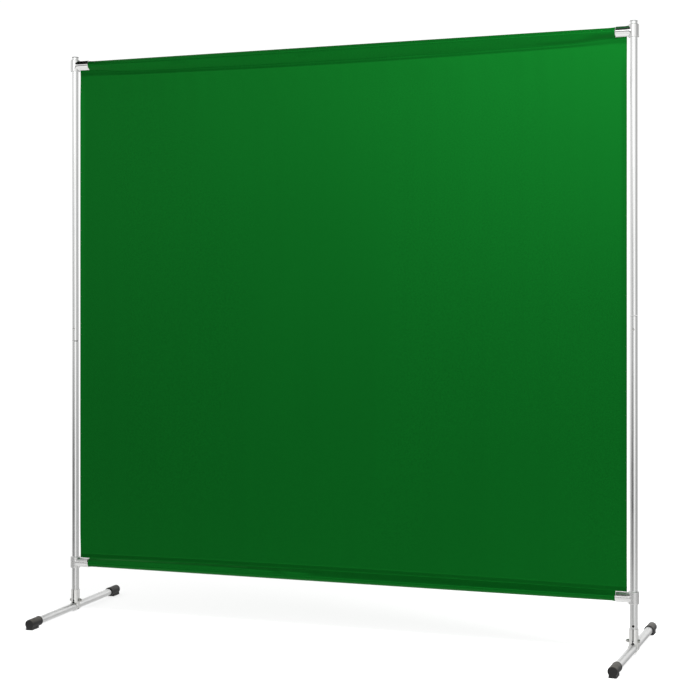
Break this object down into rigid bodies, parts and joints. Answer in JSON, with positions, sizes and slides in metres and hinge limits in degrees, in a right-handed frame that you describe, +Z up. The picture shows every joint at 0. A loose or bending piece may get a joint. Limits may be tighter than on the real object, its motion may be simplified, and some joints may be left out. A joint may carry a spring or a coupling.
{
  "type": "welding curtain screen",
  "caption": "Upright welding screen: a tinted film curtain on cross bars between tubular uprights, with tee fittings, snap buttons and clamped swivelling feet.",
  "frame": {"origin": "on the floor, midway between the two uprights and in the plane of their axes", "axes": "+X along the width to the right as seen from the front, +Z up, the front with the snap buttons at -Y"},
  "size_m": [2.0588, 0.6704, 2],
  "materials": {
    "zinc_tube": "bright zinc plated tube with faint lengthwise draw lines",
    "zinc_fitting": "bright zinc plated, smooth",
    "bright_steel": "plain bright steel",
    "grey_plug": "grey moulded plastic",
    "black_rubber": "matt black rubber",
    "green_film": "smooth dark green tinted film, faintly wavy"
  },
  "bodies": {
    "frame": {"left_upright_lower": "zinc_tube", "left_upright_upper": "zinc_tube", "left_end_plug": "grey_plug", "left_button_spring": "bright_steel", "left_upper_tee": "zinc_fitting", "left_upper_set_screw": "bright_steel", "left_lower_tee": "zinc_fitting", "left_lower_set_screw": "bright_steel", "right_upright_lower": "zinc_tube", "right_upright_upper": "zinc_tube", "right_end_plug": "grey_plug", "right_button_spring": "bright_steel", "right_upper_tee": "zinc_fitting", "right_upper_set_screw": "bright_steel", "right_lower_tee": "zinc_fitting", "right_lower_set_screw": "bright_steel", "top_bar_plain_half": "zinc_tube", "top_bar_necked_half": "zinc_tube", "bottom_bar_plain_half": "zinc_tube", "bottom_bar_necked_half": "zinc_tube", "curtain": "green_film"},
    "left_foot": {"left_foot_tube": "zinc_tube", "left_front_foot_cap": "black_rubber", "left_rear_foot_cap": "black_rubber", "left_clamp_outer_shell": "zinc_fitting", "left_clamp_inner_shell": "zinc_fitting", "left_clamp_bolt": "bright_steel", "left_clamp_washer": "bright_steel", "left_clamp_nut": "bright_steel"},
    "left_button": {"left_snap_button": "bright_steel"},
    "right_foot": {"right_foot_tube": "zinc_tube", "right_front_foot_cap": "black_rubber", "right_rear_foot_cap": "black_rubber", "right_clamp_outer_shell": "zinc_fitting", "right_clamp_inner_shell": "zinc_fitting", "right_clamp_bolt": "bright_steel", "right_clamp_washer": "bright_steel", "right_clamp_nut": "bright_steel"},
    "right_button": {"right_snap_button": "bright_steel"}
  },
  "joints": [
    {"name": "left_foot_swivel", "type": "hinge", "parent": "frame", "child": "left_foot", "pos_m": [-1, 0, 0], "axis": [0, 0, 1], "range_deg": [-90, 90]},
    {"name": "left_button_press", "type": "slide", "parent": "frame", "child": "left_button", "axis": [0, 1, 0], "range_m": [0, 0.004], "stiffness_N_per_m": 1500, "springref_m": -0.002, "deforming": ["left_button_spring"]},
    {"name": "right_foot_swivel", "type": "hinge", "parent": "frame", "child": "right_foot", "pos_m": [1, 0, 0], "axis": [0, 0, 1], "range_deg": [-90, 90]},
    {"name": "right_button_press", "type": "slide", "parent": "frame", "child": "right_button", "axis": [0, 1, 0], "range_m": [0, 0.004], "stiffness_N_per_m": 1500, "springref_m": -0.002, "deforming": ["right_button_spring"]}
  ]
}
